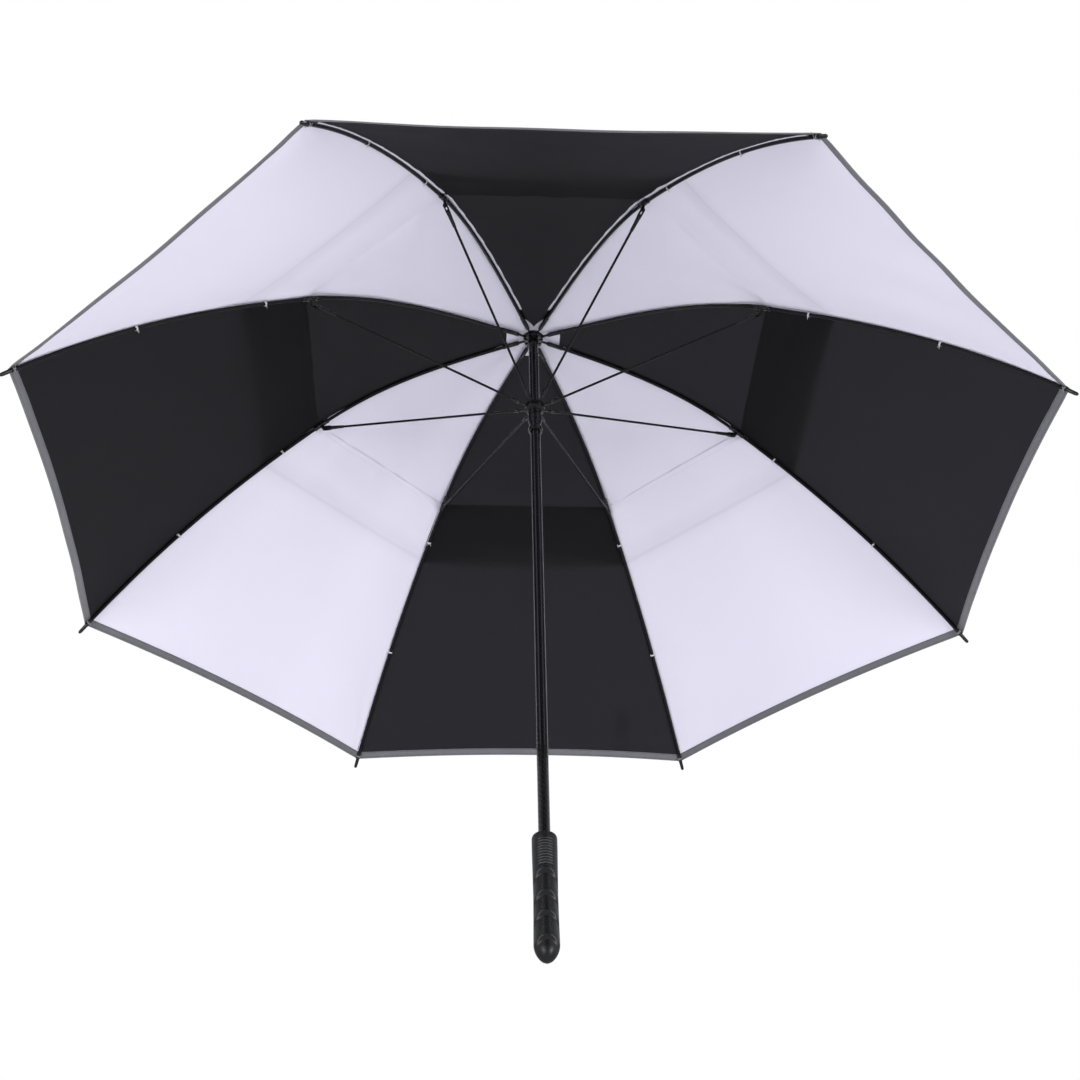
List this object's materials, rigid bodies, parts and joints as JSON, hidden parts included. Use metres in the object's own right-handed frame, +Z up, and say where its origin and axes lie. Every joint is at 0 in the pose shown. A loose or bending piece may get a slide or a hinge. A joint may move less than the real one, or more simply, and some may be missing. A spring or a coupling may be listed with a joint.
{
  "type": "golf umbrella",
  "caption": "Open golf umbrella with a vented double canopy of alternating dark and pale gores, folding ribs, a sliding runner and a straight moulded grip.",
  "frame": {"origin": "middle of the grip, on the shaft's axis", "axes": "+Z up the shaft towards the ferrule; a gore's middle faces +X, and the ribs stand at 22.5 degrees plus every 45 degrees"},
  "size_m": [1.2408, 1.2408, 0.995],
  "materials": {
    "cloth_black": "plain-woven polyester, slightly sheened",
    "cloth_white": "plain-woven polyester, slightly sheened",
    "hem_grey": "grey reflective binding tape",
    "thread_white": "twisted sewing thread",
    "fibreglass_black": "pultruded fibreglass rod",
    "shaft_black": "wrapped and lacquered fibreglass tube",
    "plastic_black": "moulded nylon",
    "grip_black": "soft matte moulded grip",
    "steel": "plated spring steel"
  },
  "bodies": {
    "root": {"shaft": "shaft_black", "grip": "grip_black", "crown": "plastic_black", "crown_wire": "steel", "ferrule": "plastic_black", "top_cap": "plastic_black", "crown_lining": "cloth_white"},
    "top_catch": {"top_catch": "steel"},
    "bottom_catch": {"bottom_catch": "steel"},
    "runner": {"runner": "plastic_black", "runner_wire": "steel"},
    "rib_inner_1": {"rib_inner_1": "fibreglass_black", "upper_gore_1": "cloth_white"},
    "rib_outer_1": {"rib_outer_1": "fibreglass_black", "tip_1": "plastic_black", "lower_gore_1": "cloth_white"},
    "stretcher_1": {"stretcher_1": "fibreglass_black"},
    "rib_inner_2": {"rib_inner_2": "fibreglass_black", "upper_gore_2": "cloth_black"},
    "rib_outer_2": {"rib_outer_2": "fibreglass_black", "tip_2": "plastic_black", "lower_gore_2": "cloth_black", "closure_strap": "cloth_black"},
    "stretcher_2": {"stretcher_2": "fibreglass_black"},
    "rib_inner_3": {"rib_inner_3": "fibreglass_black", "upper_gore_3": "cloth_white"},
    "rib_outer_3": {"rib_outer_3": "fibreglass_black", "tip_3": "plastic_black", "lower_gore_3": "cloth_white"},
    "stretcher_3": {"stretcher_3": "fibreglass_black"},
    "rib_inner_4": {"rib_inner_4": "fibreglass_black", "upper_gore_4": "cloth_black"},
    "rib_outer_4": {"rib_outer_4": "fibreglass_black", "tip_4": "plastic_black", "lower_gore_4": "cloth_black"},
    "stretcher_4": {"stretcher_4": "fibreglass_black"},
    "rib_inner_5": {"rib_inner_5": "fibreglass_black", "upper_gore_5": "cloth_white"},
    "rib_outer_5": {"rib_outer_5": "fibreglass_black", "tip_5": "plastic_black", "lower_gore_5": "cloth_white"},
    "stretcher_5": {"stretcher_5": "fibreglass_black"},
    "rib_inner_6": {"rib_inner_6": "fibreglass_black", "upper_gore_6": "cloth_black"},
    "rib_outer_6": {"rib_outer_6": "fibreglass_black", "tip_6": "plastic_black", "lower_gore_6": "cloth_black"},
    "stretcher_6": {"stretcher_6": "fibreglass_black"},
    "rib_inner_7": {"rib_inner_7": "fibreglass_black", "upper_gore_7": "cloth_white"},
    "rib_outer_7": {"rib_outer_7": "fibreglass_black", "tip_7": "plastic_black", "lower_gore_7": "cloth_white"},
    "stretcher_7": {"stretcher_7": "fibreglass_black"},
    "rib_inner_8": {"rib_inner_8": "fibreglass_black", "upper_gore_8": "cloth_black"},
    "rib_outer_8": {"rib_outer_8": "fibreglass_black", "tip_8": "plastic_black", "lower_gore_8": "cloth_black"},
    "stretcher_8": {"stretcher_8": "fibreglass_black"}
  },
  "joints": [
    {"name": "canopy_fold", "type": "hinge", "parent": "root", "child": "rib_inner_1", "pos_m": [0.01016, 0.00421, 0.8395], "axis": [-0.3827, 0.9239, 0], "range_deg": [0, 72.06], "deforming": ["upper_gore_1", "top_catch", "bottom_catch"]},
    {"name": "rib_flex_1", "type": "hinge", "parent": "rib_inner_1", "child": "rib_outer_1", "pos_m": [0.3063, 0.12687, 0.77703], "axis": [-0.3827, 0.9239, 0], "range_deg": [-18.02, 0], "deforming": ["lower_gore_1"]},
    {"name": "stretcher_pivot_1", "type": "hinge", "parent": "rib_inner_1", "child": "stretcher_1", "pos_m": [0.29259, 0.1212, 0.77485], "axis": [-0.3827, 0.9239, 0], "range_deg": [-144.14, 0]},
    {"name": "rib_fold_2", "type": "hinge", "parent": "root", "child": "rib_inner_2", "pos_m": [0.00421, 0.01016, 0.8395], "axis": [-0.9239, 0.3827, 0], "range_deg": [0, 72.07], "deforming": ["upper_gore_2"]},
    {"name": "rib_flex_2", "type": "hinge", "parent": "rib_inner_2", "child": "rib_outer_2", "pos_m": [0.12687, 0.3063, 0.77703], "axis": [-0.9239, 0.3827, 0], "range_deg": [-18.02, 0], "deforming": ["lower_gore_2", "closure_strap"]},
    {"name": "stretcher_pivot_2", "type": "hinge", "parent": "rib_inner_2", "child": "stretcher_2", "pos_m": [0.1212, 0.29259, 0.77485], "axis": [-0.9239, 0.3827, 0], "range_deg": [-144.14, 0]},
    {"name": "rib_fold_3", "type": "hinge", "parent": "root", "child": "rib_inner_3", "pos_m": [-0.00421, 0.01016, 0.8395], "axis": [-0.9239, -0.3827, 0], "range_deg": [0, 72.07], "deforming": ["upper_gore_3"]},
    {"name": "rib_flex_3", "type": "hinge", "parent": "rib_inner_3", "child": "rib_outer_3", "pos_m": [-0.12687, 0.3063, 0.77703], "axis": [-0.9239, -0.3827, 0], "range_deg": [-18.02, 0], "deforming": ["lower_gore_3"]},
    {"name": "stretcher_pivot_3", "type": "hinge", "parent": "rib_inner_3", "child": "stretcher_3", "pos_m": [-0.1212, 0.29259, 0.77485], "axis": [-0.9239, -0.3827, 0], "range_deg": [-144.14, 0]},
    {"name": "rib_fold_4", "type": "hinge", "parent": "root", "child": "rib_inner_4", "pos_m": [-0.01016, 0.00421, 0.8395], "axis": [-0.3827, -0.9239, 0], "range_deg": [0, 72.07], "deforming": ["upper_gore_4"]},
    {"name": "rib_flex_4", "type": "hinge", "parent": "rib_inner_4", "child": "rib_outer_4", "pos_m": [-0.3063, 0.12687, 0.77703], "axis": [-0.3827, -0.9239, 0], "range_deg": [-18.02, 0], "deforming": ["lower_gore_4"]},
    {"name": "stretcher_pivot_4", "type": "hinge", "parent": "rib_inner_4", "child": "stretcher_4", "pos_m": [-0.29259, 0.1212, 0.77485], "axis": [-0.3827, -0.9239, 0], "range_deg": [-144.14, 0]},
    {"name": "rib_fold_5", "type": "hinge", "parent": "root", "child": "rib_inner_5", "pos_m": [-0.01016, -0.00421, 0.8395], "axis": [0.3827, -0.9239, 0], "range_deg": [0, 72.07], "deforming": ["upper_gore_5"]},
    {"name": "rib_flex_5", "type": "hinge", "parent": "rib_inner_5", "child": "rib_outer_5", "pos_m": [-0.3063, -0.12687, 0.77703], "axis": [0.3827, -0.9239, 0], "range_deg": [-18.02, 0], "deforming": ["lower_gore_5"]},
    {"name": "stretcher_pivot_5", "type": "hinge", "parent": "rib_inner_5", "child": "stretcher_5", "pos_m": [-0.29259, -0.1212, 0.77485], "axis": [0.3827, -0.9239, 0], "range_deg": [-144.14, 0]},
    {"name": "rib_fold_6", "type": "hinge", "parent": "root", "child": "rib_inner_6", "pos_m": [-0.00421, -0.01016, 0.8395], "axis": [0.9239, -0.3827, 0], "range_deg": [0, 72.07], "deforming": ["upper_gore_6"]},
    {"name": "rib_flex_6", "type": "hinge", "parent": "rib_inner_6", "child": "rib_outer_6", "pos_m": [-0.12687, -0.3063, 0.77703], "axis": [0.9239, -0.3827, 0], "range_deg": [-18.02, 0], "deforming": ["lower_gore_6"]},
    {"name": "stretcher_pivot_6", "type": "hinge", "parent": "rib_inner_6", "child": "stretcher_6", "pos_m": [-0.1212, -0.29259, 0.77485], "axis": [0.9239, -0.3827, 0], "range_deg": [-144.14, 0]},
    {"name": "rib_fold_7", "type": "hinge", "parent": "root", "child": "rib_inner_7", "pos_m": [0.00421, -0.01016, 0.8395], "axis": [0.9239, 0.3827, 0], "range_deg": [0, 72.07], "deforming": ["upper_gore_7"]},
    {"name": "rib_flex_7", "type": "hinge", "parent": "rib_inner_7", "child": "rib_outer_7", "pos_m": [0.12687, -0.3063, 0.77703], "axis": [0.9239, 0.3827, 0], "range_deg": [-18.02, 0], "deforming": ["lower_gore_7"]},
    {"name": "stretcher_pivot_7", "type": "hinge", "parent": "rib_inner_7", "child": "stretcher_7", "pos_m": [0.1212, -0.29259, 0.77485], "axis": [0.9239, 0.3827, 0], "range_deg": [-144.14, 0]},
    {"name": "rib_fold_8", "type": "hinge", "parent": "root", "child": "rib_inner_8", "pos_m": [0.01016, -0.00421, 0.8395], "axis": [0.3827, 0.9239, 0], "range_deg": [0, 72.07], "deforming": ["upper_gore_8"]},
    {"name": "rib_flex_8", "type": "hinge", "parent": "rib_inner_8", "child": "rib_outer_8", "pos_m": [0.3063, -0.12687, 0.77703], "axis": [0.3827, 0.9239, 0], "range_deg": [-18.02, 0], "deforming": ["lower_gore_8"]},
    {"name": "stretcher_pivot_8", "type": "hinge", "parent": "rib_inner_8", "child": "stretcher_8", "pos_m": [0.29259, -0.1212, 0.77485], "axis": [0.3827, 0.9239, 0], "range_deg": [-144.14, 0]},
    {"name": "runner_pivot", "type": "hinge", "parent": "stretcher_1", "child": "runner", "pos_m": [0.01016, 0.00421, 0.7102], "axis": [-0.3827, 0.9239, 0], "range_deg": [0, 72.07]},
    {"name": "top_catch_press", "type": "hinge", "parent": "root", "child": "top_catch", "pos_m": [0, 0.00345, 0.6408], "axis": [1, 0, 0], "range_deg": [0, 5.2], "stiffness_Nm_per_rad": 0.05},
    {"name": "bottom_catch_press", "type": "hinge", "parent": "root", "child": "bottom_catch", "pos_m": [0, 0.00345, 0.2554], "axis": [-1, 0, 0], "range_deg": [0, 5.2], "stiffness_Nm_per_rad": 0.05}
  ],
  "couplings": [
    {"joint": "rib_flex_1", "follows": "canopy_fold", "ratio": -0.25},
    {"joint": "stretcher_pivot_1", "follows": "canopy_fold", "ratio": -2},
    {"joint": "rib_fold_2", "follows": "canopy_fold", "ratio": 1},
    {"joint": "rib_flex_2", "follows": "canopy_fold", "ratio": -0.25},
    {"joint": "stretcher_pivot_2", "follows": "canopy_fold", "ratio": -2},
    {"joint": "rib_fold_3", "follows": "canopy_fold", "ratio": 1},
    {"joint": "rib_flex_3", "follows": "canopy_fold", "ratio": -0.25},
    {"joint": "stretcher_pivot_3", "follows": "canopy_fold", "ratio": -2},
    {"joint": "rib_fold_4", "follows": "canopy_fold", "ratio": 1},
    {"joint": "rib_flex_4", "follows": "canopy_fold", "ratio": -0.25},
    {"joint": "stretcher_pivot_4", "follows": "canopy_fold", "ratio": -2},
    {"joint": "rib_fold_5", "follows": "canopy_fold", "ratio": 1},
    {"joint": "rib_flex_5", "follows": "canopy_fold", "ratio": -0.25},
    {"joint": "stretcher_pivot_5", "follows": "canopy_fold", "ratio": -2},
    {"joint": "rib_fold_6", "follows": "canopy_fold", "ratio": 1},
    {"joint": "rib_flex_6", "follows": "canopy_fold", "ratio": -0.25},
    {"joint": "stretcher_pivot_6", "follows": "canopy_fold", "ratio": -2},
    {"joint": "rib_fold_7", "follows": "canopy_fold", "ratio": 1},
    {"joint": "rib_flex_7", "follows": "canopy_fold", "ratio": -0.25},
    {"joint": "stretcher_pivot_7", "follows": "canopy_fold", "ratio": -2},
    {"joint": "rib_fold_8", "follows": "canopy_fold", "ratio": 1},
    {"joint": "rib_flex_8", "follows": "canopy_fold", "ratio": -0.25},
    {"joint": "stretcher_pivot_8", "follows": "canopy_fold", "ratio": -2},
    {"joint": "runner_pivot", "follows": "canopy_fold", "ratio": 1}
  ]
}
